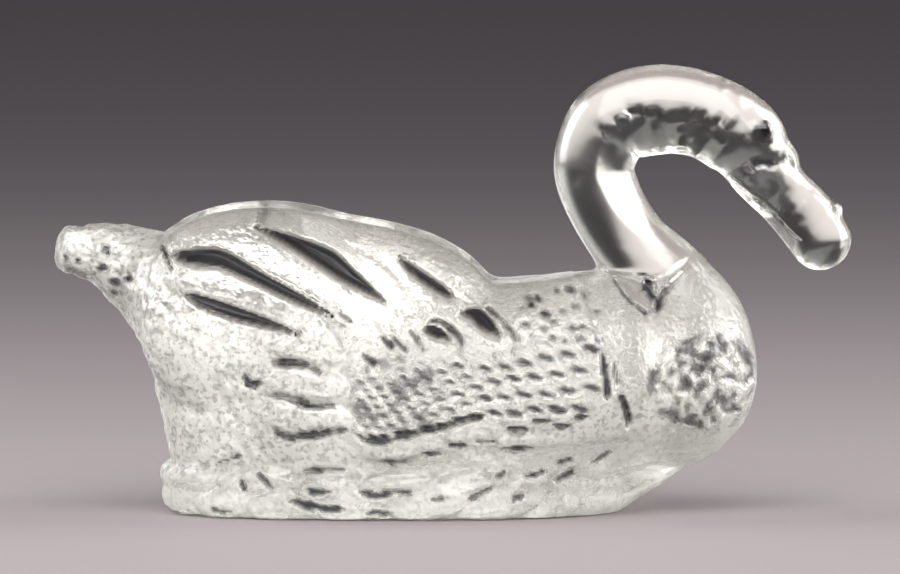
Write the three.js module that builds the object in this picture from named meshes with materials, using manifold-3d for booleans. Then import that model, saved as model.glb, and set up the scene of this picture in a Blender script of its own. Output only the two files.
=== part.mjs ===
// A pressed-glass swan figurine, cast as one solid piece together with the water that it swims on.
// Millimetres, +Z up, bill towards +X. The origin is on the standing surface, below the middle of the figure.
import * as THREE from "three";
import { mergeVertices } from "three/addons/utils/BufferGeometryUtils.js";
import Module from "manifold-3d";

const wasm = await Module();
wasm.setup();

// Main masses: centre, half-sizes along X, Y and Z, and the power of the rounding, where 2 is an ellipsoid.
const HULL = { at: [-7.7, 0, 27], half: [56.7, 31, 24], power: 2.4, sides: 24, rings: 12 };
const BACK = { at: [-30.2, 0, 38], half: [38.2, 28, 26], power: 2.3, sides: 20, rings: 10 };
const STERN = { at: [-48, 0, 21], half: [16.5, 22, 19], power: 2.6, sides: 18, rings: 8 };
const SHOULDER = { at: [21, 0, 33], half: [21, 30.5, 18.6], power: 2.5, sides: 20, rings: 10 };
const CHEST = { at: [33, 0, 32], half: [24, 24.5, 22], power: 2, sides: 20, rings: 10 };
const BREAST = { at: [47, 0, 31], half: [21.5, 20, 21.5], power: 2, sides: 22, rings: 12 };
const KEEL = { at: [10, 0, 12], half: [40, 20, 15], power: 2, sides: 18, rings: 8 };
const PLINTH = { at: [-13, 0, 4.5], half: [51, 25.5, 9], power: 2.6, sides: 24, rings: 6 };
const MASSES = [HULL, BACK, STERN, SHOULDER, CHEST, BREAST, KEEL, PLINTH];

// One folded wing, raised beside the back: its high rear, and the front that slopes down to the shoulder.
// The other wing is its mirror image, and a valley lies between the two.
const WING_REAR = { at: [-43, 12, 45], half: [27.5, 17, 22.9], power: 2.4, sides: 18, rings: 10 };
const WING_FRONT = { at: [-25, 12, 44], half: [35, 16.5, 20.5], power: 2, sides: 18, rings: 10 };
const WING_MASSES = [HULL, BACK, SHOULDER, WING_REAR, WING_FRONT];

// Neck, head and bill: the middle line, the half-depth seen from the side and the half-width across.
const NECK = [
  { x: 52.0, z: 27.0, deep: 10.0, wide: 9.5 },
  { x: 55.0, z: 39.0, deep: 11.9, wide: 10.8 },
  { x: 49.3, z: 49.7, deep: 10.6, wide: 9.6 },
  { x: 39.4, z: 61.0, deep: 8.8, wide: 8.2 },
  { x: 33.3, z: 71.6, deep: 8.9, wide: 8.0 },
  { x: 31.9, z: 79.2, deep: 9.2, wide: 8.1 },
  { x: 35.8, z: 87.4, deep: 9.8, wide: 8.4 },
  { x: 45.5, z: 90.6, deep: 10.2, wide: 8.5 },
  { x: 56.1, z: 89.4, deep: 9.7, wide: 8.8 },
  { x: 65.2, z: 84.0, deep: 9.6, wide: 8.8 },
  { x: 70.4, z: 76.7, deep: 8.0, wide: 7.4 },
  { x: 74.3, z: 71.6, deep: 6.9, wide: 6.0 },
  { x: 78.8, z: 66.8, deep: 7.1, wide: 5.8 },
  { x: 83.0, z: 61.0, deep: 6.9, wide: 6.0 },
];
const BILL_END = 6.4;
const NECK_SIDES = 14;
const NECK_RINGS = 32;
const KNOB = { at: [74.5, 0, 79.8], half: [4, 4.5, 4] };
const NAIL = { at: [85.8, 0, 68.2], half: [1.9, 2.4, 1.9] };
const EYE = { at: [69.7, 7.5, 86.2], half: [2.1, 1.5, 2.1] };

// Tail: a wedge that rises from the stern and ends in a blunt fan of plumes.
const TAIL = [
  { x: -46.0, z: 38.0, deep: 15.0, wide: 20.0 },
  { x: -59.5, z: 47.2, deep: 14.0, wide: 18.5 },
  { x: -70.1, z: 54.6, deep: 9.4, wide: 14.0 },
  { x: -78.5, z: 56.8, deep: 8.0, wide: 11.0 },
  { x: -85.2, z: 58.0, deep: 6.2, wide: 8.5 },
];
const TAIL_END = 4.7;
const TAIL_SIDES = 12;
const TAIL_RINGS = 10;
const PLUME = {
  count: 3,
  spread: 5.2,
  root: [-58, 58.5],
  tip: [-89.2, 60.6],
  half: 3.2,
  thick: 3.6,
  sides: 6,
  rings: 6,
};

// Flight feathers from the crest downwards: points [x, z] along each vane, tip to root, and its half-width.
const FLIGHT_FEATHERS = [
  { line: [[-26.5, 64.8], [-16.6, 61.6], [-7.6, 58.0], [0.3, 53.2], [7, 47.5]], half: 4.7 },
  { line: [[-56, 65], [-38, 66.4], [-26.8, 61.4], [-17.7, 55.4], [-8.7, 47.5]], half: 4.3 },
  { line: [[-66, 60.2], [-55, 64], [-44.8, 60.6], [-34.7, 54.4], [-24.5, 47.4], [-16, 41.5]], half: 4.6 },
  { line: [[-62, 52.2], [-51.6, 51.2], [-42.6, 48], [-32.4, 42.4], [-25, 37.5]], half: 3.9 },
];
const VANE = { thick: 2.7, tip: 0.22, root: 0.55, sides: 8, rings: 9 };

// Coverts, laid like leaves over the roots of the flight feathers, and the longer tertials below them.
const LEAVES = [
  { x: 7.1, z: 42.0, long: 8.2, half: 3.5, slope: -34 },
  { x: -3.0, z: 39.8, long: 6.6, half: 3.1, slope: -32 },
  { x: -11.6, z: 37.6, long: 6.0, half: 2.9, slope: -30 },
  { x: -19.0, z: 35.0, long: 5.8, half: 2.7, slope: -26 },
  { x: -33.5, z: 38.6, long: 10.0, half: 2.6, slope: -12 },
  { x: -33.5, z: 31.2, long: 11.0, half: 3.3, slope: -9 },
  { x: -33.0, z: 23.4, long: 11.4, half: 3.4, slope: -3 },
];
const LEAF = { thick: 2, sides: 8, rings: 4 };

// Small overlapping scales from the covert line forward to the wing's front edge, in rows that rise forwards.
const SCALE = { long: 4.3, half: 3.1, thick: 1.8, pitch: 7.4, row: 4.9, slope: -14 };
const SCALE_FIELD = { back: -17.5, front: 34, low: 15.5, rows: 8, rise: 0.2, level: 12 };
const COVERT_LINE = { x: 12, z: 37.6, slope: 0.22, crown: 51 };

// Ripples of the water, as rounded billows round the plinth.
const RIPPLE = { count: 12, z: 5.5, long: 10.5, half: 6, thick: 2.2, slope: 16, bow: 20, sides: 6, rings: 4 };

const END_POWER = 2.4;
const MERGE_GAP = 1e-4;
const SLOPE_STEP = 0.5;
const FLOOR_BLOCK = 400;
const DEGREE = Math.PI / 180;
const UP = new THREE.Vector3(0, 0, 1);
const ACROSS = new THREE.Vector3(0, 1, 0);

// A geometry's closed skin: its places alone, with each shared vertex held once.
function skin(geometry) {
  const bare = new THREE.BufferGeometry();
  bare.setAttribute("position", geometry.getAttribute("position").clone());
  bare.setIndex(geometry.index);
  return mergeVertices(bare, MERGE_GAP);
}

// A closed geometry as a solid for joining and cutting.
function solid(geometry) {
  const closed = skin(geometry);
  return new wasm.Manifold(
    new wasm.Mesh({
      numProp: 3,
      vertProperties: closed.attributes.position.array,
      triVerts: new Uint32Array(closed.index.array),
    }),
  );
}

// Share of a limb's full size near its end, from 0 at the very end to 1 where it is whole.
function roundEnd(share) {
  return (1 - (1 - share) ** END_POWER) ** (1 / END_POWER);
}

// Moves every vertex of a geometry to where the function puts it.
function reshape(geometry, move) {
  const position = geometry.getAttribute("position");
  const point = new THREE.Vector3();
  for (let i = 0; i < position.count; i++) {
    point.fromBufferAttribute(position, i);
    const moved = move(point);
    position.setXYZ(i, moved.x, moved.y, moved.z);
  }
  return geometry;
}

// The same geometry on the other side of the swan.
function twin(geometry) {
  const copy = reshape(skin(geometry), (p) => p.setY(-p.y));
  const index = copy.index.array;
  for (let i = 0; i < index.length; i += 3) {
    [index[i + 1], index[i + 2]] = [index[i + 2], index[i + 1]];
  }
  return copy;
}

// A rounded mass: a sphere pushed out to a superellipsoid, with its poles above and below.
function lobe({ at, half, power = 2, sides = 8, rings = 5 }) {
  return reshape(new THREE.SphereGeometry(1, sides, rings), (d) => {
    const sum = Math.abs(d.x) ** power + Math.abs(d.y) ** power + Math.abs(d.z) ** power;
    d.multiplyScalar(sum ** (-1 / power));
    return d.set(at[0] + half[0] * d.x, at[1] - half[1] * d.z, at[2] + half[2] * d.y);
  });
}

// Half-width of the wings' masses at a place in the side view.
function flank(x, z) {
  const widths = WING_MASSES.map(({ at, half, power }) => {
    const used = Math.abs((x - at[0]) / half[0]) ** power + Math.abs((z - at[2]) / half[2]) ** power;
    return used < 1 ? at[1] + half[1] * (1 - used) ** (1 / power) : 0;
  });
  return Math.max(...widths);
}

// Outward direction of the flank there.
function outward(x, z) {
  const slopeX = (flank(x + SLOPE_STEP, z) - flank(x - SLOPE_STEP, z)) / (2 * SLOPE_STEP);
  const slopeZ = (flank(x, z + SLOPE_STEP) - flank(x, z - SLOPE_STEP)) / (2 * SLOPE_STEP);
  return new THREE.Vector3(-slopeX, 1, -slopeZ).normalize();
}

// A closed body swept along a curve. out(t) is the direction of its first half-size, and size(t) gives both.
function sweep(curve, out, size, sides, rings) {
  return reshape(new THREE.SphereGeometry(1, sides, rings), (d) => {
    const t = 1 - Math.acos(THREE.MathUtils.clamp(d.y, -1, 1)) / Math.PI;
    const ring = Math.hypot(d.x, d.z) || 1;
    const along = curve.getTangent(t);
    const first = out(t).addScaledVector(along, -out(t).dot(along)).normalize();
    const second = new THREE.Vector3().crossVectors(first, along);
    const [a, b] = size(t);
    return curve
      .getPoint(t)
      .addScaledVector(first, (a * d.x) / ring)
      .addScaledVector(second, (b * d.z) / ring);
  });
}

// A round-ended limb in the middle plane, through stations with their own depth and width.
function limb(stations, end, sides, rings) {
  const [before, last] = stations.slice(-2);
  const reach = new THREE.Vector2(last.x - before.x, last.z - before.z).setLength(end);
  const tip = { ...last, x: last.x + reach.x, z: last.z + reach.y };
  const all = [...stations, tip];
  const spine = new THREE.CatmullRomCurve3(all.map((s) => new THREE.Vector3(s.x, 0, s.z)));
  const sizes = new THREE.CatmullRomCurve3(all.map((s) => new THREE.Vector3(s.deep, s.wide, 0)));
  const spans = all.length - 1;
  const size = (t) => {
    const { x: deep, y: wide } = sizes.getPoint(t);
    const fromEnd = Math.min(1, spans * t, spans * (1 - t));
    return [wide * roundEnd(fromEnd), deep * roundEnd(fromEnd)];
  };
  return sweep(spine, () => ACROSS.clone(), size, sides, rings);
}

// A flight feather: a vane on the wing or along its crest, rounded at the tip and narrower at the root.
function flightFeather({ line, half }) {
  const places = line.map(([x, z]) => new THREE.Vector3(x, flank(x, z) || WING_REAR.at[1], z));
  const curve = new THREE.CatmullRomCurve3(places);
  const [, wide, high] = BACK.half;
  const out = (t) => {
    const p = curve.getPoint(t);
    return new THREE.Vector3(0, p.y / wide ** 2, (p.z - BACK.at[2]) / high ** 2).normalize();
  };
  const size = (t) => {
    const tip = Math.sqrt(1 - (1 - Math.min(1, t / VANE.tip)) ** 2);
    const root = Math.sqrt(1 - Math.max(0, (t - VANE.root) / (1 - VANE.root)) ** 2);
    return [VANE.thick * tip * root, half * tip * root];
  };
  return sweep(curve, out, size, VANE.sides, VANE.rings);
}

// Lays a unit shape on the flank: long along the slope in the side view, thick outwards.
function layOnFlank(geometry, { x, z, long, half, thick, slope }) {
  const centre = new THREE.Vector3(x, flank(x, z), z);
  const out = outward(x, z);
  const along = new THREE.Vector3(Math.cos(slope * DEGREE), 0, Math.sin(slope * DEGREE));
  along.addScaledVector(out, -along.dot(out)).normalize();
  const frame = new THREE.Matrix4().makeBasis(
    along.clone().multiplyScalar(long),
    out.clone().multiplyScalar(thick),
    new THREE.Vector3().crossVectors(along, out).multiplyScalar(half),
  );
  return geometry.applyMatrix4(frame.setPosition(centre));
}

function scales() {
  const made = [];
  for (let row = 0; row < SCALE_FIELD.rows; row++) {
    for (let x = SCALE_FIELD.back + (row % 2) * 0.5 * SCALE.pitch; x < SCALE_FIELD.front; x += SCALE.pitch) {
      const climb = SCALE_FIELD.rise * (Math.min(x, SCALE_FIELD.level) - SCALE_FIELD.back);
      const z = SCALE_FIELD.low + row * SCALE.row + climb;
      const { x: edge, z: line, slope, crown } = COVERT_LINE;
      const limit = x < edge ? line + slope * (x - edge) : crown;
      if (z < limit && flank(x, z) > SCALE.pitch) {
        made.push(layOnFlank(new THREE.OctahedronGeometry(1, 0), { ...SCALE, x, z }));
      }
    }
  }
  return made;
}

// Place on the plinth's edge at a turn round its middle.
function plinthEdge(turn) {
  const round = (v) => Math.sign(v) * Math.abs(v) ** (2 / PLINTH.power);
  const [halfX, halfY] = PLINTH.half;
  const x = PLINTH.at[0] + halfX * round(Math.cos(turn));
  return new THREE.Vector3(x, halfY * round(Math.sin(turn)), RIPPLE.z);
}

// A billow of water that leans along the plinth's edge.
function billow(turn) {
  const at = plinthEdge(turn);
  const [halfX, halfY] = PLINTH.half;
  const out = new THREE.Vector3(Math.cos(turn) / halfX, Math.sin(turn) / halfY, 0).normalize();
  const along = new THREE.Vector3().crossVectors(UP, out);
  along.applyAxisAngle(out, RIPPLE.slope * DEGREE * Math.sign(at.y));
  const frame = new THREE.Matrix4().makeBasis(
    along.clone().multiplyScalar(RIPPLE.long),
    out.clone().multiplyScalar(RIPPLE.thick),
    new THREE.Vector3().crossVectors(along, out).multiplyScalar(RIPPLE.half),
  );
  return new THREE.SphereGeometry(1, RIPPLE.sides, RIPPLE.rings).applyMatrix4(frame.setPosition(at));
}

// Billows from the stern as far forward as the bow, where the water runs smooth under the breast.
function ripples() {
  const turns = Array.from({ length: RIPPLE.count }, (_, i) => ((i + 0.5) / RIPPLE.count) * 2 * Math.PI);
  return turns.filter((turn) => plinthEdge(turn).x < RIPPLE.bow).map(billow);
}

// Long plumes side by side on the top of the tail.
function plumes() {
  return Array.from({ length: PLUME.count }, (_, i) => {
    const y = (i - (PLUME.count - 1) / 2) * PLUME.spread;
    const [rootX, rootZ] = PLUME.root;
    const [tipX, tipZ] = PLUME.tip;
    const curve = new THREE.LineCurve3(new THREE.Vector3(rootX, y, rootZ), new THREE.Vector3(tipX, y, tipZ));
    const size = (t) => {
      const round = Math.sqrt(Math.sin(Math.PI * t));
      return [PLUME.thick * round, PLUME.half * round];
    };
    return sweep(curve, () => UP.clone(), size, PLUME.sides, PLUME.rings);
  });
}

function swanSolid() {
  const leaves = LEAVES.map((leaf) => {
    return layOnFlank(new THREE.SphereGeometry(1, LEAF.sides, LEAF.rings), { ...leaf, thick: LEAF.thick });
  });
  const wing = [WING_REAR, WING_FRONT].map(lobe);
  const leftSide = [...wing, ...FLIGHT_FEATHERS.map(flightFeather), ...leaves, ...scales(), lobe(EYE)];
  const added = [
    limb(NECK, BILL_END, NECK_SIDES, NECK_RINGS),
    limb(TAIL, TAIL_END, TAIL_SIDES, TAIL_RINGS),
    lobe(KNOB),
    lobe(NAIL),
    ...plumes(),
    ...ripples(),
    ...leftSide,
    ...leftSide.map(twin),
  ];
  const whole = wasm.Manifold.union([...MASSES.map(lobe), ...added].map(solid));
  const below = new THREE.BoxGeometry(FLOOR_BLOCK, FLOOR_BLOCK, FLOOR_BLOCK);
  return whole.subtract(solid(below.translate(0, 0, -FLOOR_BLOCK / 2)));
}

function geometryOf(manifold) {
  const { numProp, vertProperties, triVerts } = manifold.getMesh();
  const geometry = new THREE.BufferGeometry();
  geometry.setAttribute("position", new THREE.BufferAttribute(vertProperties, numProp));
  geometry.setIndex(new THREE.BufferAttribute(triVerts, 1));
  geometry.computeVertexNormals();
  return geometry;
}

const glass = new THREE.MeshStandardMaterial({
  color: 0xeef0ec,
  roughness: 0.06,
  metalness: 0,
  transparent: true,
  opacity: 0.35,
});

const swan = new THREE.Mesh(geometryOf(swanSolid()), glass);
swan.name = "swan";

const figurine = new THREE.Group();
figurine.add(swan);

export default figurine;
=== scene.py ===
import math

import bpy
import numpy as np
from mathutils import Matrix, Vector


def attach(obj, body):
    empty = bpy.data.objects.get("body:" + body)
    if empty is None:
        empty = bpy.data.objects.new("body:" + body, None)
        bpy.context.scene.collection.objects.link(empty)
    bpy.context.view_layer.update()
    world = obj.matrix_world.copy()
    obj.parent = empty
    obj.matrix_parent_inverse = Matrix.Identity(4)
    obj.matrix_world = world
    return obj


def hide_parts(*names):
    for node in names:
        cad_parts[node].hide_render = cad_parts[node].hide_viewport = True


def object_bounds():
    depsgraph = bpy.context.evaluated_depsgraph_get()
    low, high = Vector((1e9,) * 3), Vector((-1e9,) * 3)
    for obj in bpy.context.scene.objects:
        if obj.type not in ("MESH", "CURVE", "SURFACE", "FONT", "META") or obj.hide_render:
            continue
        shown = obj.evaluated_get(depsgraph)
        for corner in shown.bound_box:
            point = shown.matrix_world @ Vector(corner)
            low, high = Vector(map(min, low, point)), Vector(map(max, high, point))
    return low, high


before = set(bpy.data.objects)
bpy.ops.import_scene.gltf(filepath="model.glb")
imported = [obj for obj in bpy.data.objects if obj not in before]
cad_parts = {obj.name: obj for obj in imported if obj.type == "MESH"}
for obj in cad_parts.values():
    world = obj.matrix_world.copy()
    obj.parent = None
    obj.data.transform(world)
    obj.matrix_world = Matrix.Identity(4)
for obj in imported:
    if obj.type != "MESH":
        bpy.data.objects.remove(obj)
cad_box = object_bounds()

import openvdb
from mathutils import Vector

# A pressed-glass swan, cast as one solid piece with the water it swims on.
# Its form is a field of signed distances in millimetres, which is then turned into one closed mesh.
# The swan is its own mirror image, so the field is worked out for one side and mirrored.

MM = 0.001
SEED = 7
# Grid of the field: its pitch, the room round the swan, and the distance that stands for empty space.
VOXEL = 0.55
MARGIN = 4.0
FAR = 60.0
# Lookups in a side-view map stay this many places inside its end.
INSIDE_END = 1.001
# Triangles that the mesh is thinned to, and the weight that keeps the thinning off the clear neck.
MOST_TRIANGLES = 190000
NECK_CARE = 1e-11
# Points this near to the ground belong to the flat underside.
LEVEL = 0.02
# Places worked out along limbs, feathers and cuts.
LIMB_SAMPLES = 260
LINE_SAMPLES = 140
CUT_SAMPLES = 120
# Points are moved onto the surface in steps no longer than this, and slopes count as no gentler than this.
LONGEST_STEP = 0.4
LEAST_SLOPE = 0.05

# Main masses: centre, half-sizes along X, Y and Z, and the power of the rounding, where 2 is an ellipsoid.
HULL = dict(at=(-7.7, 0, 27), half=(56.7, 31, 24), power=2.4)
BACK = dict(at=(-30.2, 0, 38), half=(38.2, 28, 26), power=2.3)
STERN = dict(at=(-48, 0, 21), half=(16.5, 22, 19), power=2.6)
SHOULDER = dict(at=(21, 0, 33), half=(21, 30.5, 18.6), power=2.5)
CHEST = dict(at=(33, 0, 32), half=(24, 24.5, 22), power=2.0)
BREAST = dict(at=(47, 0, 31), half=(21.5, 20, 21.5), power=2.0)
KEEL = dict(at=(10, 0, 12), half=(40, 20, 15), power=2.0)
PLINTH = dict(at=(-13, 0, 4.5), half=(51, 25.5, 9), power=2.6)
WING_REAR = dict(at=(-43, 12, 45), half=(27.5, 17, 22.9), power=2.4)
WING_FRONT = dict(at=(-25, 12, 44), half=(35, 16.5, 20.5), power=2.0)
MASSES = (HULL, BACK, STERN, SHOULDER, CHEST, BREAST, KEEL, PLINTH)
BODY_BLEND = 5.0
WING_BLEND = 3.0

# Neck, head and bill: x and z of the middle line, half-depth in the side view, half-width across.
NECK = (
    (52.0, 27.0, 10.0, 9.5), (55.0, 39.0, 11.9, 10.8), (49.3, 49.7, 10.6, 9.6), (39.4, 61.0, 8.8, 7.6),
    (33.3, 71.6, 8.9, 7.5), (31.9, 79.2, 9.2, 7.9), (35.8, 87.4, 9.8, 8.4), (45.5, 90.6, 10.2, 8.5),
    (56.1, 89.4, 9.7, 8.8), (65.2, 84.0, 9.6, 8.8), (70.0, 76.4, 7.5, 7.2), (74.3, 71.6, 6.9, 6.0),
    (78.8, 66.8, 7.1, 5.8), (83.0, 61.0, 6.9, 6.0),
)
BILL_END = 6.6
NECK_BLEND = 3.0
KNOB = dict(at=(73.9, 0, 79.3), half=(4, 4.5, 4), power=2.0)
NAIL = dict(at=(85.8, 0, 68.2), half=(1.9, 2.4, 1.9), power=2.0)
EYE = dict(at=(69.7, 7.5, 86.2), half=(2.1, 1.5, 2.1), power=2.0)
FACE_BLEND = 1.6

# Tail: a wedge that rises from the stern.
TAIL = (
    (-46.0, 38.0, 15.0, 20.0), (-59.5, 47.2, 14.0, 18.5), (-70.4, 53.9, 10.2, 14.0), (-78.5, 57.7, 7.3, 11.0),
    (-85.2, 58.7, 5.4, 8.5),
)
TAIL_END = 4.6
TAIL_SQUARE = 3.2
TAIL_BLEND = 5.0

# Flight feathers from the crest downwards: (x, z) along each vane from tip to root, and its half-width.
FLIGHT_FEATHERS = (
    (((-64, 60), (-56, 64), (-40, 67), (-26.5, 64.8), (-16.6, 61.6), (-7.6, 58), (0.3, 53.2), (7, 47.5)),
     4.7),
    (((-56, 65), (-38, 66.4), (-26.8, 61.4), (-17.7, 55.4), (-8.7, 47.5)), 4.3),
    (((-66, 60.2), (-55, 64), (-44.8, 60.6), (-34.7, 54.9), (-24.5, 47.9), (-16, 41.5)), 4.6),
    (((-62, 53.4), (-51.6, 52.6), (-42.6, 49.6), (-32.4, 43.8), (-25, 38)), 3.9),
)
VANE_HEIGHT = 1.5
VANE_TIP = 0.22
VANE_ROOT = 0.55
VANE_LEAST = 0.05

# Cuts in the side view, painted with shade as well as cut: x, z and half-width at a few places along each.
SLITS = (
    ((-12.1, 58.2, 0.3), (-8.7, 55.5, 0.7), (-3.0, 51.5, 0.8), (-0.1, 49.4, 0.2)),
    ((-44.6, 65.5, 0.3), (-36.9, 62.5, 1.0), (-28.6, 58.5, 1.9), (-22.9, 54.4, 1.4), (-15.7, 49.4, 0.3)),
    ((-62.2, 58.9, 1.5), (-57.2, 58.7, 1.6), (-51.6, 58.3, 1.7), (-43.2, 54.2, 1.2), (-34.7, 49.9, 0.9),
     (-26.8, 46.1, 0.3)),
    ((-60.0, 50.8, 0.3), (-56.1, 49.0, 1.2), (-49.3, 46.7, 1.3), (-42.6, 44.7, 0.9), (-34.4, 42.2, 0.2)),
    ((1.9, 46.1, 0.3), (4.6, 45.8, 1.2), (7.3, 43.8, 1.3), (10.3, 41.5, 0.3)),
    ((-6.7, 43.1, 0.3), (-4.0, 42.2, 1.0), (-1.0, 40.6, 0.3)),
)
SLIT_DEPTH = 6.5
LINES = (
    ((-25.6, 47.0, 0.4), (-22.9, 44.7, 0.5)),
    ((-65.6, 61.6, 0.5), (-62.7, 55.1, 0.4)),
    ((7.3, 47.4, 0.4), (11.0, 44.5, 0.4), (13.9, 40.9, 0.4)),
    ((-5.5, 44.5, 0.4), (-2.8, 44.3, 0.5), (0.6, 41.8, 0.5), (2.1, 39.3, 0.5)),
    ((-15.9, 41.3, 0.5), (-13.2, 38.8, 0.6)),
    ((-14.1, 41.8, 0.4), (-10.5, 38.4, 0.5)),
    ((-20.4, 37.7, 0.5), (-17.0, 35.4, 0.5)),
    ((-9.6, 42.7, 0.4), (-6.4, 37.7, 0.4)),
    ((-41.9, 35.2, 0.4), (-37.8, 35.7, 1.0), (-33.3, 35.4, 0.6), (-28.8, 33.0, 0.3)),
    ((-43.0, 28.2, 0.5), (-37.4, 27.8, 0.5), (-32.4, 26.2, 0.6), (-26.5, 26.2, 0.4)),
    ((-40.2, 20.6, 0.5), (-38.6, 19.2, 0.7), (-36.0, 18.4, 0.8), (-31.3, 19.4, 0.8), (-23.6, 20.8, 0.5)),
    ((-46.6, 32.9, 0.6), (-46.4, 31.2, 0.8), (-45.0, 30.3, 0.8), (-43.0, 31.2, 0.5)),
    ((-20.9, 18.5, 0.4), (-15.9, 18.1, 0.8), (-11.0, 19.2, 0.7), (-2.8, 21.4, 0.6), (7.8, 24.4, 0.5)),
    ((33.3, 37.7, 0.6), (34.0, 31.8, 0.7), (34.2, 27.1, 0.6)),
    ((35.6, 35.9, 0.4), (36.5, 30.5, 0.5)),
    ((37.1, 28.2, 0.6), (38.7, 23.0, 0.6), (38.7, 20.3, 0.5)),
    ((-20.9, 6.5, 0.5), (-17.0, 5.6, 0.8), (-14.1, 6.5, 0.7), (-9.1, 6.1, 0.6)),
    ((-36.9, 4.5, 0.5), (-32.6, 3.2, 0.9), (-24.5, 2.5, 0.6)),
    ((-33.3, 7.2, 0.5), (-30.4, 6.1, 0.6), (-26.8, 6.8, 0.4)),
    ((3.5, 4.7, 0.4), (9.4, 7.7, 0.5)),
    ((9.4, 9.5, 0.4), (11.6, 10.6, 0.5)),
    ((15.9, 9.5, 0.5), (20.4, 10.8, 0.5)),
    ((23.1, 12.4, 0.5), (26.3, 13.5, 0.5)),
    ((22.5, 8.3, 0.4), (27.0, 10.6, 0.5)),
    ((30.6, 12.0, 0.4), (35.1, 14.9, 0.5)),
    ((-53.4, 12.0, 0.4), (-50.9, 13.1, 0.5), (-47.0, 14.3, 0.3)),
    ((-47.8, 8.8, 0.5), (-46.4, 6.0, 0.5)),
    ((-43.8, 10.6, 0.4), (-40.4, 6.6, 0.4)),
    ((-54.2, 2.0, 0.5), (-51.8, 1.4, 0.7), (-49.4, 1.8, 0.4)),
    ((-33.4, 10.8, 0.3), (-28.6, 11.3, 0.4), (-24.2, 11.4, 0.3)),
    ((-19.4, 1.6, 0.4), (-14.6, 1.4, 0.4)),
    ((-4.8, 4.8, 0.4), (-2.2, 5.0, 0.4)),
    ((13.0, 4.4, 0.5), (15.8, 5.6, 0.5)),
)
LINE_DEPTH = 1.6
# Creases cut after neck and head are joined to the body: the neck's foot, cheek, gape and nostril.
CREASES = (
    ((35.8, 53.0, 0.5), (39.0, 48.8, 0.6), (43.7, 45.2, 0.4)),
    ((45.4, 46.0, 0.9), (46.9, 49.4, 0.6), (51.8, 54.1, 0.4)),
    ((43.2, 52.4, 1.0), (45.0, 48.4, 1.0)),
    ((66.2, 80.0, 0.6), (69.5, 78.7, 0.9), (72.8, 78.4, 0.6)),
    ((62.0, 75.5, 0.3), (68.0, 71.4, 0.4), (74.0, 66.2, 0.4), (79.5, 60.5, 0.3)),
    ((75.6, 79.6, 0.5), (76.2, 77.8, 0.5)),
)
# Creases are painted with shade too, as the cuts are.
CREASE_DEPTH = 1.0
# Pupil, painted dark with shade on the eye and not cut: x, z, half-sizes and slope.
PUPIL_SHADE = (70.0, 86.6, 1.5, 2.3, 0)

# Leaf-like coverts and the longer tertials: x, z, half-length, half-width, slope in degrees.
COVERTS = (
    (7.1, 42.0, 8.2, 3.5, -34), (-3.0, 39.8, 6.6, 3.1, -32), (-11.6, 37.6, 6.0, 2.9, -30),
    (-19.0, 35.0, 5.8, 2.7, -26),
)
TERTIALS = ((-33.5, 38.6, 10.0, 2.6, -12), (-33.5, 31.2, 11.0, 3.3, -9), (-33.0, 23.4, 11.4, 3.4, -3))
LEAF_HEIGHT = 1.3

# Scales in rows that rise forwards, growing from the wing's rear to its front edge, with a dash under each.
SCALE_ROWS = 7
SCALE_SPAN = (-21.0, 33.0)
SCALE_PITCH = (2.6, 5.8)
SCALE_STEP = 0.78
SCALE_JITTER = 0.1
SCALE_SLOPE = -18
SCALE_HEIGHT = 0.7
SCALE_LINE = ((-21, 20.2), (-15.9, 20.2), (-2.8, 23.4), (7.8, 26.2), (33, 27.6))
COVERT_LINE = ((-22, 33), (-11.6, 34.5), (-3, 36.6), (7, 37.8), (14, 38.6), (16, 41), (34, 41))
# Half-sizes of scales and dashes, and the dashes' shift, as shares of the pitch.
SCALE_HALF = (0.54, 0.36)
DASH_HALF = (0.48, 0.19)
DASH_SHIFT = (0.06, -0.37)
# Dashes are cut to this depth and painted with shade; each one's share of both is drawn between these shares.
DASH_DEPTH = 0.9
DASH_SHARES = (0.6, 1.0)

# Raised plate of the wing: its lower edge in the side view, and the scallops below the scales.
WING_LOWER_EDGE = ((-24, 14.6), (-13, 14.2), (-5, 15.6), (7, 17.4), (21, 17), (39, 18.6))
PLATE_FRONT = (36.0, 29.0, -0.34)
PLATE_HEIGHT = 0.9
PLATE_EDGE = 0.6
PLATE_REAR = (-26.0, -18.0)
SCALLOPS = (
    (-13.2, 13.3, 3.2), (-5.1, 15.4, 1.9), (0.8, 17.2, 2.3), (6.9, 18.1, 2.3), (14.1, 21.0, 2.5),
    (14.0, 16.5, 3.4), (19.5, 22.8, 2.0), (24.3, 21.7, 2.3), (28.3, 23.5, 1.5),
)
SCALLOP_HALF = 1.7
SCALLOP_HEIGHT = 1.2
SCALLOP_SLOPE = 4
SCALLOP_LONG = 1.8
# Each scallop has a cut along its foot, painted with shade.
SCALLOP_CUT = 0.6
SCALLOP_TIP = 0.3
SCALLOP_SAG = 0.2

# Pits between the tail's plumes, painted with shade: x, z and radius.
TAIL_PITS = (
    (-78.2, 59.6, 1.2), (-78.8, 55.6, 1.2), (-76.0, 52.4, 1.2), (-73.0, 53.2, 1.0), (-76.2, 49.8, 0.8),
    (-84.4, 57.2, 0.8), (-87.3, 57.6, 0.7),
)
PIT_LONG = 1.3
# Dimples on the shoulder, in uneven rows, painted with shade. Sizes and depths are drawn between these
# shares.
DIMPLE_SPAN_X = (14.5, 32.0)
DIMPLE_SPAN_Z = (41.0, 51.5)
DIMPLE_PITCH = 3.4
DIMPLE_RADIUS = 1.1
DIMPLE_DEPTH = 0.9
DIMPLE_ROW = 0.9
DIMPLE_LONG = 1.5
DIMPLE_JITTER = 0.9
DIMPLE_SIZES = (0.5, 1.0)
DIMPLE_DEPTHS = (0.4, 1.0)

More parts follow.
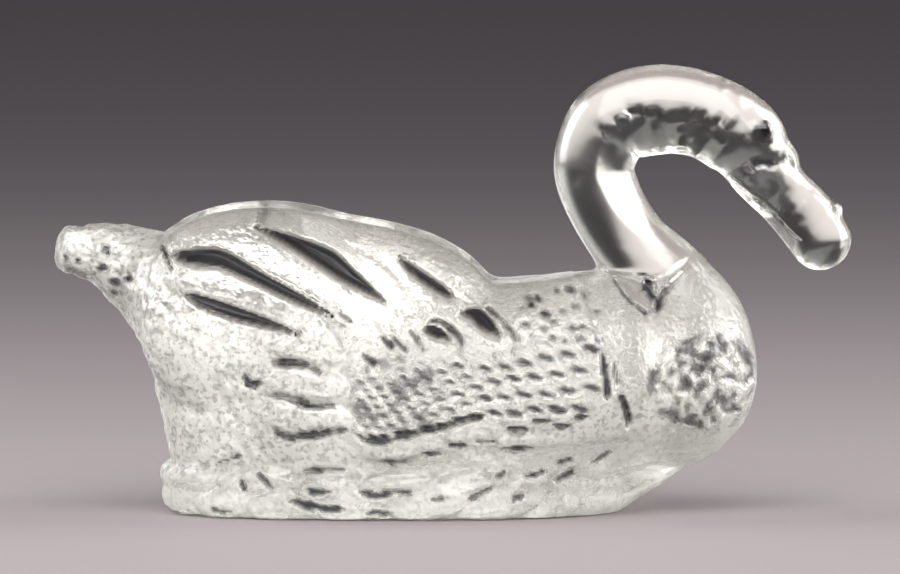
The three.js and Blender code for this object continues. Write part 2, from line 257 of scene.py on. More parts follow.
# Ruffled down on the breast, along the neck's arch and at the bill's root: x, z, half-sizes and depth.
RUFFLES = ((57.0, 30.0, 13.0, 11.5, 0.36), (50.0, 86.5, 18.0, 5.5, 0.12), (77.0, 69.5, 8.0, 10.0, 0.04))
RUFFLE_REACH = 1
RUFFLE_EDGE = 0.6
# Patches where the pits are painted with shade, on the breast, finest scales and bow: x, z, half-sizes and
# share.
PIT_SHADE_PATCHES = ((56.5, 30.0, 14.0, 11.5, 0.95), (-12.5, 28.0, 11.0, 10.0, 0.85), (23.0, 7.0, 14.0, 6.0, 0.3))
PIT_SHADE_EDGE = 0.5
PIT_SHADE_SPAN = (-0.2, 0.5)

# Streaks of the water, longer than they are high, up to this height, and painted with shade up to this share.
STREAK_STRETCH = 4
STREAK_HEIGHT = 0.2
STREAK_SHADE = 0.15
STREAK_SPAN = (0.2, 1.1)
STREAK_FADE = 5.0
WATER_TOP = 15.0

# Billows of the water round the plinth.
BILLOWS = 20
BILLOW_TIERS = ((3.4, 4.6, 0.0), (8.2, 3.4, 0.5))
BILLOW_HEIGHT = 1.9
BILLOW_LEAN = 0.06
BILLOW_FILL = 0.96
BOW_START = 20.0
BOW_FADE = 8.0

# Stipple of the pressed surface, with painted shade in its pits.
STIPPLE_REACH = 1
STIPPLE_HEIGHT = 0.16
STIPPLE_SHADE = 0.3
STIPPLE_PITS = (0.5, 1.5)
# Feathers, scales and water have less stipple. Spans say where a zone begins and is full, along x and up,
# and heights change along x by the slope. The water's heights count from its top, and it ends upwards.
FEATHER_ZONE = dict(x=(-68.0, -62.0), z=(44.0, 54.0), slope=0.25, middle=-40.0, less=0.7)
SCALE_ZONE = dict(x=(-30.0, -20.0), z=(17.0, 22.0), slope=-0.2, middle=0.0, less=0.6)
WATER_ZONE = dict(z=(-2.0, 4.0), slope=-0.1, less=0.5)

# Cuts are this much wider at the surface than their half-widths say, and their painted shade is full from
# this share of depth.
# Valleys between raised forms get painted shade that is full at this depth. Reaches are in voxels.
CUT_REACH = 1.15
CUT_DARK = 0.6
VALLEY_REACH = 3
VALLEY_FULL = 0.55
VALLEY_SHADE = 0.5
# Wide folds get a softer painted shade.
FOLD_REACH = 8
FOLD_FULL = 0.8
FOLD_SHADE = 0.35
# Lower limit of the smooth, clear neck, as x and z. It follows the creases at the neck's foot.
CLEAR_FROM = (
    (24.0, 75.0), (29.0, 59.5), (32.0, 57.0), (35.8, 53.0), (39.0, 48.8), (44.5, 45.4), (46.9, 49.4),
    (51.8, 54.1), (62.0, 56.0),
)
CLEAR_EDGE = 0.8
# A cut's ends taper with this power of the distance from its middle, and its width wavers by this share.
CUT_TAPER = 5
CUT_WAVER = 0.3
WAVER_LIMIT = 1.5
CUT_LEAST = 0.1
# Distances from the middle plane over which carving, creases and the painted shade begin.
CARVED_SPAN = (3.0, 11.0)
CREASED_SPAN = (1.0, 5.0)
PAINTED_SHADE_SPAN = (2.0, 6.0)


def smooth_step(low, high, value):
    share = np.clip((value - low) / (high - low), 0.0, 1.0)
    return share * share * (3.0 - 2.0 * share)


def smooth_union(a, b, blend):
    closeness = np.maximum(blend - np.abs(a - b), 0.0) / blend
    return np.minimum(a, b) - 0.25 * blend * closeness * closeness


def axis(low, high):
    return np.arange(low, high + VOXEL, VOXEL, dtype=np.float32)


# Places of the grid along each axis. Y starts in the middle plane.
XS = axis(cad_box[0].x / MM - MARGIN, cad_box[1].x / MM + MARGIN)
YS = axis(0.0, cad_box[1].y / MM + MARGIN)
ZS = axis(-MARGIN, cad_box[1].z / MM + MARGIN)
SIDE_X, SIDE_Z = np.meshgrid(XS, ZS, indexing="ij")


def lobe(at, half, power):
    """Distance to a superellipsoid, true to first order near its surface."""
    spans = [np.abs(places - centre) / size for places, centre, size in zip((XS, YS, ZS), at, half)]
    reach = [span ** power for span in spans]
    steep = [(span ** (power - 1) / size) ** 2 for span, size in zip(spans, half)]
    total = reach[0][:, None, None] + reach[1][None, :, None] + reach[2][None, None, :]
    slope = np.sqrt(steep[0][:, None, None] + steep[1][None, :, None] + steep[2][None, None, :])
    radius = np.maximum(total, 1e-4) ** np.float32(1 / power)
    return (radius - 1) * total / (radius * slope + 1e-6)


def curve_through(points, samples):
    """Places on a Catmull-Rom curve through points of any dimension."""
    points = np.asarray(points, dtype=np.float64)
    ends = (2 * points[0] - points[1], 2 * points[-1] - points[-2])
    held = np.vstack([ends[0], points, ends[1]])
    spans = len(points) - 1
    places = np.linspace(0, spans, samples)
    first = np.minimum(places.astype(int), spans - 1)
    t = (places - first)[:, None]
    a, b, c, d = (held[first + i] for i in range(4))
    square, cube = 2 * a - 5 * b + 4 * c - d, 3 * b - a - 3 * c + d
    return 0.5 * (2 * b + (c - a) * t + square * t ** 2 + cube * t ** 3)


def nearest_on(line):
    """For each place in the side view: the index of the line's nearest sample, and the offset from it."""
    best = np.full(SIDE_X.shape, np.inf)
    index = np.zeros(SIDE_X.shape, dtype=int)
    for i, (x, z) in enumerate(line):
        gap = (SIDE_X - x) ** 2 + (SIDE_Z - z) ** 2
        closer = gap < best
        best[closer] = gap[closer]
        index[closer] = i
    return index, SIDE_X - line[index, 0], SIDE_Z - line[index, 1]


def limb(stations, end, square=2.0):
    """Distance to a limb in the middle plane with an elliptical section. A square of 2 is a round end."""
    places = curve_through(stations, LIMB_SAMPLES)
    index, off_x, off_z = nearest_on(places[:, :2])
    deep, wide = places[index, 2], places[index, 3]
    last = places[-1, :2] - places[-2, :2]
    last = last / np.linalg.norm(last)
    beyond = np.where(index == len(places) - 1, off_x * last[0] + off_z * last[1], 0.0)
    beyond = np.maximum(beyond, 0.0)
    aside = np.sqrt(np.maximum(off_x ** 2 + off_z ** 2 - beyond ** 2, 0.0))
    flat = ((aside / deep) ** square + (beyond / end) ** square) ** (2 / square)
    steep = (aside / deep ** 2) ** 2 + (beyond / end ** 2) ** 2
    flat, steep = flat.astype(np.float32), steep.astype(np.float32)
    across = YS[None, :, None]
    wide = wide.astype(np.float32)[:, None, :]
    radius = np.sqrt(flat[:, None, :] + (across / wide) ** 2) + 1e-4
    slope = np.sqrt(steep[:, None, :] + (across / wide ** 2) ** 2) + 1e-6
    return (radius - 1) * radius / slope


def along_line(points):
    """Distance in the side view to a line through points, and how far along it each place lies."""
    line = curve_through(points, LINE_SAMPLES)
    index, off_x, off_z = nearest_on(line)
    return np.hypot(off_x, off_z), index / (LINE_SAMPLES - 1)


def leaf_place(x, z, long, half, slope):
    """Place of the side view in the frame of a leaf, 1 at its edge along and across."""
    turn = math.radians(slope)
    along = (SIDE_X - x) * math.cos(turn) + (SIDE_Z - z) * math.sin(turn)
    across = (SIDE_Z - z) * math.cos(turn) - (SIDE_X - x) * math.sin(turn)
    return along / long, across / half


def dome(x, z, long, half, slope):
    along, across = leaf_place(x, z, long, half, slope)
    return np.sqrt(np.maximum(0.0, 1 - along ** 2 - across ** 2))


def height_of(line, places):
    xs, zs = zip(*line)
    return np.interp(places, xs, zs)


def vane_relief():
    """Raised vanes of the flight feathers, rounded at the tip and fading at the root."""
    relief = np.zeros_like(SIDE_X)
    for points, half in FLIGHT_FEATHERS:
        gap, share = along_line(points)
        tip = np.sqrt(1 - (1 - np.minimum(1, share / VANE_TIP)) ** 2)
        root = np.sqrt(1 - np.maximum(0, (share - VANE_ROOT) / (1 - VANE_ROOT)) ** 2)
        across = gap / np.maximum(half * tip * root, VANE_LEAST)
        relief = np.maximum(relief, VANE_HEIGHT * np.sqrt(np.maximum(0, 1 - across ** 2)))
    return relief


def cut_shape(stations, waver):
    """A cut's depth across the side view, from 0 outside it to 1 along its middle."""
    line = curve_through(stations, CUT_SAMPLES)
    index, off_x, off_z = nearest_on(line[:, :2])
    taper = np.sqrt(1 - np.abs(np.linspace(-1, 1, len(line))) ** CUT_TAPER)
    uneven = 1 + waver * np.clip(GRAIN, -WAVER_LIMIT, WAVER_LIMIT)
    half = np.maximum(line[:, 2] * taper, CUT_LEAST)[index] * uneven
    across = np.hypot(off_x, off_z) / half
    return np.sqrt(np.maximum(0, 1 - (across / CUT_REACH) ** 2))


def cuts(lines, waver=CUT_WAVER):
    return np.max([cut_shape(stations, waver) for stations in lines], axis=0)


def leaf_relief():
    """Raised coverts and tertials."""
    relief = np.zeros_like(SIDE_X)
    for leaf in COVERTS + TERTIALS:
        relief = np.maximum(relief, LEAF_HEIGHT * dome(*leaf))
    return relief


def scale_relief():
    """Scales that lift towards their lower front end, like shingles, and the dashes below them."""
    draws = np.random.default_rng(SEED + 2)
    raised, dashes = np.zeros_like(SIDE_X), np.zeros_like(SIDE_X)
    for row in range(SCALE_ROWS):
        x = SCALE_SPAN[0] + 0.5 * (row % 2) * SCALE_PITCH[0]
        while x < SCALE_SPAN[1]:
            pitch = np.interp(x, SCALE_SPAN, SCALE_PITCH)
            place = row + draws.uniform(-SCALE_JITTER, SCALE_JITTER)
            z = height_of(SCALE_LINE, x) + place * SCALE_STEP * pitch
            if z < height_of(COVERT_LINE, x):
                scale = dome(x, z, *(share * pitch for share in SCALE_HALF), SCALE_SLOPE)
                raised = np.maximum(raised, SCALE_HEIGHT * scale)
                below = (x + DASH_SHIFT[0] * pitch, z + DASH_SHIFT[1] * pitch)
                dash = dome(*below, *(share * pitch for share in DASH_HALF), SCALE_SLOPE)
                dashes = np.maximum(dashes, draws.uniform(*DASH_SHARES) * dash)
            x += pitch
    return raised, dashes


def dimple_relief():
    """Dimples on the shoulder and pits in the tail, from 0 outside them to 1 in their middle."""
    draws = np.random.default_rng(SEED + 4)
    relief = np.zeros_like(SIDE_X)
    rows = np.arange(*DIMPLE_SPAN_Z, DIMPLE_ROW * DIMPLE_PITCH)
    for row, z in enumerate(rows):
        first = DIMPLE_SPAN_X[0] + 0.5 * (row % 2) * DIMPLE_PITCH
        for x in np.arange(first, DIMPLE_SPAN_X[1], DIMPLE_PITCH):
            shift_x, shift_z = draws.uniform(-DIMPLE_JITTER, DIMPLE_JITTER, 2)
            radius = draws.uniform(*DIMPLE_SIZES) * DIMPLE_RADIUS
            pit = dome(x + shift_x, z + shift_z, DIMPLE_LONG * radius, radius, SCALE_SLOPE)
            relief = np.maximum(relief, draws.uniform(*DIMPLE_DEPTHS) * pit)
    for x, z, radius in TAIL_PITS:
        relief = np.maximum(relief, dome(x, z, PIT_LONG * radius, radius, SCALE_SLOPE))
    return relief


def plate_relief():
    """The wing's plate stands proud of the body, with a row of scallops along its lower edge."""
    x, z, slope = PLATE_FRONT
    inside_front = smooth_step(-PLATE_EDGE, PLATE_EDGE, x + slope * (SIDE_Z - z) - SIDE_X)
    inside_low = smooth_step(-PLATE_EDGE, PLATE_EDGE, SIDE_Z - height_of(WING_LOWER_EDGE, SIDE_X))
    fade_rear = smooth_step(*PLATE_REAR, SIDE_X)
    relief = PLATE_HEIGHT * inside_front * inside_low * fade_rear
    for x, z, long in SCALLOPS:
        scallop = dome(x, z + SCALLOP_HALF, SCALLOP_LONG * long, SCALLOP_HALF, SCALLOP_SLOPE)
        relief = np.maximum(relief, (PLATE_HEIGHT + SCALLOP_HEIGHT) * scallop)
    return relief


def scallop_cuts():
    lines = []
    for x, z, long in SCALLOPS:
        middle = (x, z - SCALLOP_SAG, SCALLOP_CUT)
        lines.append(((x - long, z, SCALLOP_TIP), middle, (x + long, z, SCALLOP_TIP)))
    return cuts(lines)


def flank_relief():
    """Carving of the flanks in the side view: heights above the body's own surface, and the share of painted
    shade in its cuts, valleys, folds, streaks and pits.
    """
    scales, dashes = scale_relief()
    raised = np.maximum(np.maximum(plate_relief() + scales, leaf_relief()), vane_relief())
    slits, lines = cuts(SLITS, 0.0), cuts(LINES)
    scallops, dimples = scallop_cuts(), dimple_relief()
    relief = raised - SLIT_DEPTH * slits - LINE_DEPTH * np.maximum(lines, scallops)
    streaks, pit_shade = streak_relief(), pit_shade_share()
    relief = relief - DIMPLE_DEPTH * dimples - DASH_DEPTH * dashes - STREAK_HEIGHT * streaks
    valleys = np.clip((blurred(raised, VALLEY_REACH) - raised) / VALLEY_FULL, 0, 1)
    folds = np.clip((blurred(raised, FOLD_REACH) - raised) / FOLD_FULL, 0, 1)
    shadow = np.maximum(VALLEY_SHADE * valleys, FOLD_SHADE * folds)
    # Painted shade: dark in the cuts, creases and pupil, and softer in valleys, folds, streaks and the
    # patches' pits.
    deep = np.max([slits, lines, scallops, dimples, dashes, cuts(CREASES), dome(*PUPIL_SHADE)], axis=0)
    shades = (smooth_step(0.0, CUT_DARK, deep), shadow, STREAK_SHADE * streaks, pit_shade)
    return relief, np.max(shades, axis=0)


def ruffle_relief():
    """Ruffled down as soft pits between small raised tufts."""
    relief = np.zeros_like(SIDE_X)
    for x, z, long, half, depth in RUFFLES:
        relief = relief + depth * GRAIN * smooth_step(0, RUFFLE_EDGE, dome(x, z, long, half, 0))
    return relief


def pit_shade_share():
    """Share of painted shade in the pits of the patches."""
    pits = smooth_step(*PIT_SHADE_SPAN, GRAIN)
    patches = [share * smooth_step(0, PIT_SHADE_EDGE, dome(*place, 0)) for *place, share in PIT_SHADE_PATCHES]
    return pits * np.max(patches, axis=0)


def streak_relief():
    """Streaks that lie along the water, from 0 between them to 1 along their middle."""
    short = smooth_noise((len(XS) // STREAK_STRETCH + 1, len(ZS)), 1, SEED + 3)
    streaks = blurred(np.repeat(short, STREAK_STRETCH, axis=0)[:len(XS)], 1)
    return smooth_step(*STREAK_SPAN, streaks) * (1 - smooth_step(WATER_TOP - STREAK_FADE, WATER_TOP, SIDE_Z))


def blurred(values, reach):
    """Mean over boxes that reach some voxels to each side."""
    span = 2 * reach + 1
    for dimension, count in enumerate(values.shape):
        ends = [(0, 0)] * values.ndim
        ends[dimension] = (reach + 1, reach)
        sums = np.cumsum(np.pad(values, ends, mode="edge"), axis=dimension)
        later = np.take(sums, np.arange(span, span + count), dimension)
        values = (later - np.take(sums, np.arange(count), dimension)) / span
    return values


def billow_relief():
    """Waves round the plinth's edge, in tiers that lean along it."""
    x, y, z = XS[:, None, None], YS[None, :, None], ZS[None, None, :]
    turn = np.arctan2(y / PLINTH["half"][1], (x - PLINTH["at"][0]) / PLINTH["half"][0]) / (2 * math.pi)
    relief = np.zeros((len(XS), len(YS), len(ZS)), dtype=np.float32)
    for middle, tall, offset in BILLOW_TIERS:
        place = turn * BILLOWS + offset + BILLOW_LEAN * (z - middle)
        along = 2 * (place - np.floor(place)) - 1
        wave = np.sqrt(np.maximum(0, 1 - (BILLOW_FILL * along) ** 2 - ((z - middle) / tall) ** 2))
        relief = np.maximum(relief, BILLOW_HEIGHT * wave)
    return relief * (1 - smooth_step(BOW_START - BOW_FADE, BOW_START + BOW_FADE, x))


def smooth_noise(counts, reach, seed):
    """Noise over a grid, smooth over a few voxels, with a mean of 0 and a spread of 1."""
    noise = np.random.default_rng(seed).standard_normal(counts).astype(np.float32)
    for _ in range(2):
        noise = blurred(noise, reach)
    return noise / noise.std()


def frost(x, z):
    """Share of stipple on the pressed surface: less on feathers, scales and water."""
    taken = []
    for zone in (FEATHER_ZONE, SCALE_ZONE):
        height = z + zone["slope"] * (x - zone["middle"])
        taken.append(zone["less"] * smooth_step(*zone["x"], x) * smooth_step(*zone["z"], height))
    low, high = (WATER_TOP + edge for edge in WATER_ZONE["z"])
    taken.append(WATER_ZONE["less"] * (1 - smooth_step(low, high, z + WATER_ZONE["slope"] * x)))
    return (1 - np.max(taken, axis=0)) * (1 - clear_share(x, z))


def clear_share(x, z):
    """1 on the clear neck and head, 0 on the pressed body."""
    return smooth_step(-CLEAR_EDGE, CLEAR_EDGE, z - height_of(CLEAR_FROM, x))


# Noise and side-view maps that the field and its painted shade are made from.
GRAIN = smooth_noise((len(XS), len(ZS)), RUFFLE_REACH, SEED + 1)
CARVING, PAINTED_SHADE_MAP = flank_relief()
STIPPLE = smooth_noise((len(XS), len(YS), len(ZS)), STIPPLE_REACH, SEED)


def swan_field():
    """Distances for one half of the swan, from the big masses down to the creases, cut off at the ground."""
    field = np.full(STIPPLE.shape, FAR, dtype=np.float32)
    for mass in MASSES:
        field = smooth_union(field, lobe(**mass), BODY_BLEND)
    for wing in (WING_REAR, WING_FRONT):
        field = smooth_union(field, lobe(**wing), WING_BLEND)
    field = smooth_union(field, limb(TAIL, TAIL_END, TAIL_SQUARE), TAIL_BLEND)
    outward = smooth_step(*CARVED_SPAN, YS)[None, :, None]
    field = field - CARVING.astype(np.float32)[:, None, :] * outward
    field = field - billow_relief()
    stipple = STIPPLE_HEIGHT * frost(SIDE_X, SIDE_Z).astype(np.float32)[:, None, :]
    field = field - stipple * STIPPLE
    field = smooth_union(field, limb(NECK, BILL_END), NECK_BLEND)
    for bump in (KNOB, NAIL, EYE):
        field = smooth_union(field, lobe(**bump), FACE_BLEND)
    late = CREASE_DEPTH * cuts(CREASES) + ruffle_relief()
    field = field + late.astype(np.float32)[:, None, :] * smooth_step(*CREASED_SPAN, YS)[None, :, None]
    return np.maximum(field, -ZS[None, None, :])


def mirrored(half):
    return np.concatenate([half[:, :0:-1, :], half], axis=1)


class Field:
    """The whole swan's field, with smooth lookups between the places of the grid."""

    def __init__(self, values):
        self.values = values
        self.low = np.array([XS[0], -YS[-1], ZS[0]])
        self.slopes = np.gradient(values, VOXEL)

    def look(self, grid, points):
        position = (points - self.low) / VOXEL
        first = np.clip(np.floor(position).astype(int), 0, np.array(grid.shape) - 2)
        share = position - first
        found = np.zeros(len(points))
        for corner in np.ndindex(2, 2, 2):
            weight = np.prod(np.where(corner, share, 1 - share), axis=1)
            found += weight * grid[tuple((first + corner).T)]
        return found

    def slope(self, points):
        return np.stack([self.look(grid, points) for grid in self.slopes], axis=1)

    def settle(self, points, rounds=3):
        """Moves points onto the surface."""
        for _ in range(rounds):
            slope = self.slope(points)
            steep = np.maximum((slope ** 2).sum(axis=1), LEAST_SLOPE)
            step = np.clip(self.look(self.values, points) / steep, -LONGEST_STEP, LONGEST_STEP)
            points = points - slope * step[:, None]
        return points


def polygons_of(values, low):
    grid = openvdb.FloatGrid(FAR)
    grid.copyFromArray(values)
    points, triangles, quads = grid.convertToPolygons(0.0, 0.0)
    return points * VOXEL + low, np.vstack([triangles, quads[:, [0, 1, 2]], quads[:, [0, 2, 3]]])


def mesh_of(name, points, triangles):
    mesh = bpy.data.meshes.new(name)
    mesh.from_pydata((points * MM).tolist(), [], triangles.tolist())
    mesh.update()
    return mesh


def thinned(mesh, most):
    """The same surface with fewer triangles, taken from the pressed body and not from the clear neck."""
    piece = bpy.data.objects.new("thinning", mesh)
    bpy.context.scene.collection.objects.link(piece)
    places = np.empty(3 * len(mesh.vertices))
    mesh.vertices.foreach_get("co", places)
    places = places.reshape(-1, 3) / MM
    body = np.flatnonzero(clear_share(places[:, 0], places[:, 2]) < 0.5)
    piece.vertex_groups.new(name="body").add(body.tolist(), 1.0, "ADD")
    fewer = piece.modifiers.new("fewer", "DECIMATE")
    fewer.ratio = most / len(mesh.polygons)
    fewer.vertex_group = "body"
    fewer.vertex_group_factor = NECK_CARE
    shaped = piece.evaluated_get(bpy.context.evaluated_depsgraph_get())
    result = bpy.data.meshes.new_from_object(shaped)
    bpy.data.objects.remove(piece)
    return result


def side_look(sheet, points):
    """A side-view map's values at points."""
    column = np.clip((points[:, 0] - XS[0]) / VOXEL, 0, len(XS) - INSIDE_END)
    row = np.clip((points[:, 2] - ZS[0]) / VOXEL, 0, len(ZS) - INSIDE_END)
    i, k = column.astype(int), row.astype(int)
    a, c = column - i, row - k
    low = sheet[i, k] * (1 - a) + sheet[i + 1, k] * a
    high = sheet[i, k + 1] * (1 - a) + sheet[i + 1, k + 1] * a
    return low * (1 - c) + high * c


def add_shares(mesh, name, shares):
    share = mesh.attributes.new(name, "FLOAT", "POINT")
    share.data.foreach_set("value", shares.astype(np.float32))


def swan_mesh():
    """The closed mesh, with the field's own normals and the shares of painted shade and of frost on the
    glass.
    """
    field = Field(mirrored(swan_field()))
    points, triangles = polygons_of(field.values, field.low)
    mesh = thinned(mesh_of("swan_glass", field.settle(points), triangles), MOST_TRIANGLES)
    places = np.empty(3 * len(mesh.vertices))
    mesh.vertices.foreach_get("co", places)
    points = field.settle(places.reshape(-1, 3) / MM)
    mesh.vertices.foreach_set("co", (points * MM).ravel())
    mesh.update()
    normals = field.slope(points)
    normals /= np.linalg.norm(normals, axis=1)[:, None]
    level = np.abs(points[:, 2]) < LEVEL
    normals[level] = (0, 0, -1)
    mesh.polygons.foreach_set("use_smooth", np.ones(len(mesh.polygons), dtype=bool))
    mesh.normals_split_custom_set_from_vertices(normals.tolist())
    # Painted shade from the side-view map on the flanks, and in the stipple's pits where the glass is
    # frosted.
    outward = smooth_step(*PAINTED_SHADE_SPAN, np.abs(points[:, 1]))
    painted_shade = side_look(PAINTED_SHADE_MAP, points) * outward
    frosted = frost(points[:, 0], points[:, 2]) * (1 - painted_shade)
    pits = smooth_step(*STIPPLE_PITS, -field.look(mirrored(STIPPLE), points))
    add_shares(mesh, "painted_shade", np.maximum(painted_shade, STIPPLE_SHADE * pits * frosted))
    add_shares(mesh, "frost", frosted)
    corners = np.empty(3 * len(mesh.polygons), dtype=np.int32)
    mesh.polygons.foreach_get("vertices", corners)
    middles = points[corners.reshape(-1, 3)].mean(axis=1)
    clear = clear_share(middles[:, 0], middles[:, 2]) > 0.5
    mesh.polygons.foreach_set("material_index", clear.astype(np.int32))
    return mesh


# Glass: its tints in soft clouds, the speckle of the stipple, and the painted shade of its cuts, pits,
# valleys and streaks.
GLASS_IOR = 1.5
CLOUD_SCALE = 90.0
CLOUD_DETAIL = 3.0
GLASS_COOL = (0.89, 0.88, 0.83)
GLASS_WARM = (1.0, 0.98, 0.89)
GLASS_SPECKLE = (0.4, 0.41, 0.39)
SPECKLE_SCALE = 850.0
SPECKLE_DETAIL = 2.0
SPECKLE_SPAN = (0.52, 0.62)
PAINTED_SHADE_COLOUR = (0.012, 0.012, 0.014)
# Fine unevenness of the surface, and the two finishes.
BUMP_DEPTH = 0.0006
BUMP_DETAIL = 1.0
PRESSED = dict(transmission=0.90, rough=(0.22, 0.34), bump_scale=700.0, bump_strength=0.45)
CLEAR = dict(transmission=1.0, rough=(0.18, 0.2), bump_scale=60.0, bump_strength=0.05)


def new_material(name):
    material = bpy.data.materials.new(name)
    material.use_nodes = True
    return material, material.node_tree.nodes, material.node_tree.links


def noise_node(nodes, links, scale, detail):
    place = nodes.new("ShaderNodeTexCoord")
    noise = nodes.new("ShaderNodeTexNoise")
    noise.inputs["Scale"].default_value = scale
    noise.inputs["Detail"].default_value = detail
    links.new(place.outputs["Object"], noise.inputs["Vector"])
    return noise.outputs["Fac"]


def share_node(nodes, name):
    share = nodes.new("ShaderNodeAttribute")
    share.attribute_name = name
    return share.outputs["Fac"]


def mixed(nodes, links, factor, a, b):
    mix = nodes.new("ShaderNodeMix")
    mix.data_type = "RGBA"
    for socket, value in zip((mix.inputs[6], mix.inputs[7]), (a, b)):
        if isinstance(value, tuple):
            socket.default_value = (*value, 1)
        else:
            links.new(value, socket)
    links.new(factor, mix.inputs["Factor"])
    return mix.outputs[2]


def map_node(nodes, links, value, low, high, first, last):
    """A value's share between low and high, spread from first to last."""
    spread = nodes.new("ShaderNodeMapRange")
    ends = dict(zip(("From Min", "From Max", "To Min", "To Max"), (low, high, first, last)))
    for name, end in ends.items():
        if isinstance(end, float):
            spread.inputs[name].default_value = end
        else:
            links.new(end, spread.inputs[name])
    links.new(value, spread.inputs["Value"])
    return spread.outputs["Result"]


def glass_material(name, transmission, rough, bump_scale, bump_strength):
    material, nodes, links = new_material(name)
    frosted = share_node(nodes, "frost")
    shader = nodes["Principled BSDF"]
    shader.inputs["Transmission Weight"].default_value = transmission
    shader.inputs["IOR"].default_value = GLASS_IOR
    cloud = noise_node(nodes, links, CLOUD_SCALE, CLOUD_DETAIL)
    tint = mixed(nodes, links, cloud, GLASS_COOL, GLASS_WARM)
    dots = noise_node(nodes, links, SPECKLE_SCALE, SPECKLE_DETAIL)
    speckle = map_node(nodes, links, dots, *SPECKLE_SPAN, 0.0, frosted)
    dotted = mixed(nodes, links, speckle, tint, GLASS_SPECKLE)
    # Painted shade: the glass is tinted dark where the painted shade share says.
    shade = mixed(nodes, links, share_node(nodes, "painted_shade"), dotted, PAINTED_SHADE_COLOUR)
    links.new(shade, shader.inputs["Base Color"])
    links.new(map_node(nodes, links, frosted, 0.0, 1.0, *rough), shader.inputs["Roughness"])
    wave = nodes.new("ShaderNodeBump")
    wave.inputs["Strength"].default_value = bump_strength
    wave.inputs["Distance"].default_value = BUMP_DEPTH
    links.new(noise_node(nodes, links, bump_scale, BUMP_DETAIL), wave.inputs["Height"])
    links.new(wave.outputs["Normal"], shader.inputs["Normal"])
    return material


def add_object(name, data):
    made = bpy.data.objects.new(name, data)
    bpy.context.scene.collection.objects.link(made)
    return made


# Studio round the swan. It is dark behind and above, and brighter in front and at both sides.
# Each pair is the share of a direction, forwards or sideways, from which it begins and where it is full.
WORLD_COLOUR = (0.97, 0.98, 1.0)
WORLD_DARK = 0.008
WORLD_FRONT = 0.28
WORLD_SIDE = 0.75
FRONT_SPAN = (-0.35, 0.3)
SIDE_SPAN = (0.45, 0.8)

FLOOR_RADIUS = 12.0
FLOOR_SIDES = 96
FLOOR_ROUGHNESS = 0.7
FLOOR_DROP = 0.0002
# Floor colour by distance from the swan in metres: a pale grey, pale round it and a little darker far away as
# painted falloff of light.
FLOOR_SHADES = (
    (0.0, (0.237, 0.207, 0.209)), (0.35, (0.223, 0.194, 0.200)), (1.2, (0.188, 0.164, 0.174)),
    (3.0, (0.160, 0.139, 0.154)),
)


def floor_material():
    material, nodes, links = new_material("floor_paint")
    shader = nodes["Principled BSDF"]
    shader.inputs["Roughness"].default_value = FLOOR_ROUGHNESS
    place = nodes.new("ShaderNodeTexCoord")
    distance = nodes.new("ShaderNodeVectorMath")
    distance.operation = "LENGTH"
    links.new(place.outputs["Object"], distance.inputs[0])
    # The ramp paints the floor darker with distance, as painted falloff of light.
    reach = FLOOR_SHADES[-1][0]
    share = nodes.new("ShaderNodeMapRange")
    share.inputs["From Max"].default_value = reach
    links.new(distance.outputs["Value"], share.inputs["Value"])
    shades = nodes.new("ShaderNodeValToRGB")
    links.new(share.outputs["Result"], shades.inputs["Fac"])
    ramp = shades.color_ramp.elements
    while len(ramp) < len(FLOOR_SHADES):
        ramp.new(1.0)
    for stop, (metres, colour) in zip(ramp, FLOOR_SHADES):
        stop.position = metres / reach
        stop.color = (*colour, 1)
    links.new(shades.outputs["Color"], shader.inputs["Base Color"])
    return material


def add_floor():
    turns = np.linspace(0, 2 * math.pi, FLOOR_SIDES, endpoint=False)
    rim = [(FLOOR_RADIUS * math.cos(t), FLOOR_RADIUS * math.sin(t), -FLOOR_DROP) for t in turns]
    mesh = bpy.data.meshes.new("floor")
    mesh.from_pydata(rim, [], [list(range(len(rim)))])
    floor = add_object("floor", mesh)
    mesh.materials.append(floor_material())


def add_light(name, place, target, size, power, only=None, spread=180):
    """A soft panel that the camera doesn't see. Where only is given, it lights that piece alone."""
    data = bpy.data.lights.new(name, "AREA")
    data.shape = "RECTANGLE"
    data.size, data.size_y = size
    data.energy = power
    data.spread = math.radians(spread)
    light = add_object(name, data)
    light.location = place
    light.rotation_euler = (Vector(target) - Vector(place)).to_track_quat("-Z", "Y").to_euler()
    light.visible_camera = False
    if only:
        lit = bpy.data.collections.new(name + "_lit")
        lit.objects.link(only)
        light.light_linking.receiver_collection = lit


def add_world():
    world = bpy.data.worlds.new("studio")
    world.use_nodes = True
    nodes, links = world.node_tree.nodes, world.node_tree.links

    def maths(operation, *values):
        node = nodes.new("ShaderNodeMath")
        node.operation = operation
        for socket, value in zip(node.inputs, values):
            if isinstance(value, float):
                socket.default_value = value
            else:
                links.new(value, socket)
        return node.outputs["Value"]

    def glow(value, reach, strength):
        node = nodes.new("ShaderNodeMapRange")
        node.interpolation_type = "SMOOTHSTEP"
        node.inputs["From Min"].default_value, node.inputs["From Max"].default_value = reach
        node.inputs["To Min"].default_value = WORLD_DARK
        node.inputs["To Max"].default_value = strength
        links.new(value, node.inputs["Value"])
        return node.outputs["Result"]

    place = nodes.new("ShaderNodeTexCoord")
    parts = nodes.new("ShaderNodeSeparateXYZ")
    links.new(place.outputs["Generated"], parts.inputs["Vector"])
    front = glow(maths("MULTIPLY", parts.outputs["Y"], -1.0), FRONT_SPAN, WORLD_FRONT)
    side = glow(maths("ABSOLUTE", parts.outputs["X"]), SIDE_SPAN, WORLD_SIDE)
    sky = nodes["Background"]
    sky.inputs["Color"].default_value = (*WORLD_COLOUR, 1)
    links.new(maths("MAXIMUM", front, side), sky.inputs["Strength"])
    bpy.context.scene.world = world


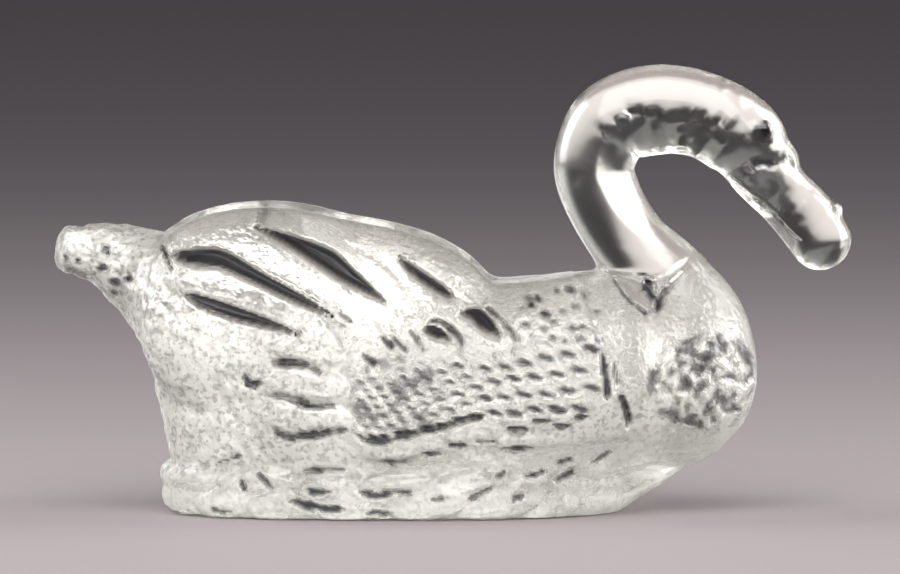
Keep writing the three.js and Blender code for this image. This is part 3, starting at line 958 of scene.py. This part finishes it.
# Panels of light: name, place, target, size and power. Those that light the swan alone have a spread too,
# in degrees.
SWAN_MIDDLE = (0, 0, 0.05)
PANELS = (
    ("top_softbox", (0.0, -0.70, 0.85), SWAN_MIDDLE, (1.2, 1.0), 21),
    ("left_panel", (-0.8, 0.1, 0.4), SWAN_MIDDLE, (0.5, 0.7), 9),
    ("right_panel", (0.8, 0.1, 0.4), SWAN_MIDDLE, (0.5, 0.7), 9),
)
SWAN_PANELS = (
    (("card", (-0.05, 0.11, 0.04), (-0.05, 0, 0.04), (0.16, 0.08), 0.0165), 100),
    (("light_table", (0.0, 0.68, 0.001), (0, 0.68, 1), (2.0, 1.12), 3.6), 176),
)

# Camera: the photograph's 900 by 574 pixels, in which the swan's 180 mm take 797 pixels.
PICTURE = (900, 574)
SWAN_PIXELS = 797
SWAN_LENGTH = 0.180
MIDDLE_PIXEL = (453.5, 510.0)
CAMERA_RISE = math.radians(4)
CAMERA_AWAY = 2.2
CAMERA_SIGHT = 50.0
SENSOR = 36.0


def add_camera():
    scale = SWAN_LENGTH / SWAN_PIXELS
    data = bpy.data.cameras.new("camera")
    data.sensor_width = SENSOR
    data.lens = SENSOR * CAMERA_AWAY / (PICTURE[0] * scale)
    data.clip_end = CAMERA_SIGHT
    aim_x = (PICTURE[0] / 2 - MIDDLE_PIXEL[0]) * scale
    aim_z = (MIDDLE_PIXEL[1] - PICTURE[1] / 2) * scale / math.cos(CAMERA_RISE)
    aim = Vector((aim_x, 0, aim_z))
    back = Vector((0, -math.cos(CAMERA_RISE), math.sin(CAMERA_RISE)))
    camera = add_object("camera", data)
    camera.location = aim + CAMERA_AWAY * back
    camera.rotation_euler = (-back).to_track_quat("-Z", "Y").to_euler()
    bpy.context.scene.camera = camera


bpy.context.scene.view_settings.view_transform = "Standard"
add_camera()
swan = add_object("swan_glass", swan_mesh())
swan.data.materials.append(glass_material("pressed_glass", **PRESSED))
swan.data.materials.append(glass_material("clear_glass", **CLEAR))
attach(swan, "root")
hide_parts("swan")
add_floor()
for panel in PANELS:
    add_light(*panel)
for panel, spread in SWAN_PANELS:
    add_light(*panel, only=swan, spread=spread)
add_world()
